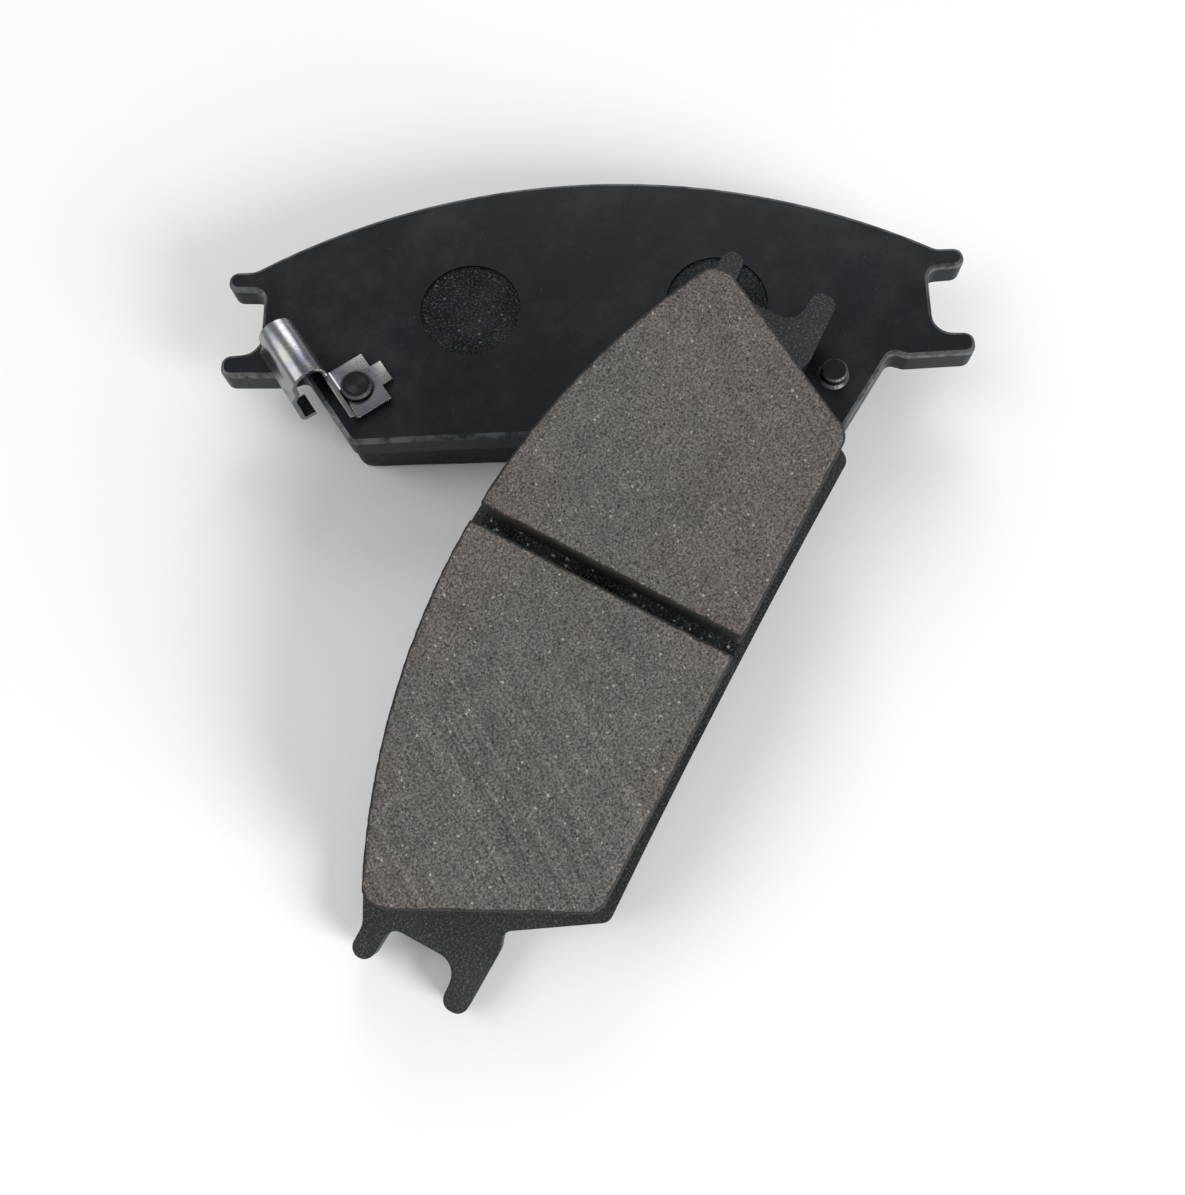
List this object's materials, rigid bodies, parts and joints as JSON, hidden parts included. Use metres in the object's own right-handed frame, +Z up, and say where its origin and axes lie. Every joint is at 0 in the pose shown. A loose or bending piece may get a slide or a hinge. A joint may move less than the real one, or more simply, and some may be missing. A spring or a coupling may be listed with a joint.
{
  "type": "disc brake pad set",
  "caption": "Disc brake pads with eared steel backing plates, slotted friction lining and a spring-steel wear indicator, one pad lying face up across the other.",
  "frame": {"origin": "on the ground, under the middle of the set's bounding box", "axes": "+Z up; +X along the lower pad, away from its wear indicator; +Y from the upper pad's grounded ear towards the lower pad's arc"},
  "size_m": [0.14, 0.1526, 0.0368],
  "materials": {
    "painted_steel": "satin near-black paint, slightly dusty",
    "underlayer": "coarse matt moulded bonding layer under thin paint",
    "friction_lining": "ground matt friction composite with light and dark grains",
    "zinc_plated_steel": "bright zinc plate with a faint blue and violet tint"
  },
  "bodies": {
    "lower_pad": {"lower_backing_plate": "painted_steel", "lower_underlayer": "underlayer", "lower_plain_end_block": "friction_lining", "lower_indicator_end_block": "friction_lining", "wear_indicator": "zinc_plated_steel"},
    "upper_pad": {"upper_backing_plate": "painted_steel", "upper_underlayer": "underlayer", "upper_plain_end_block": "friction_lining", "upper_indicator_end_block": "friction_lining"}
  },
  "joints": [
    {"name": "upper_pad_lift", "type": "slide", "parent": "lower_pad", "child": "upper_pad", "axis": [0, 0, 1], "range_m": [0, 0.06]}
  ]
}
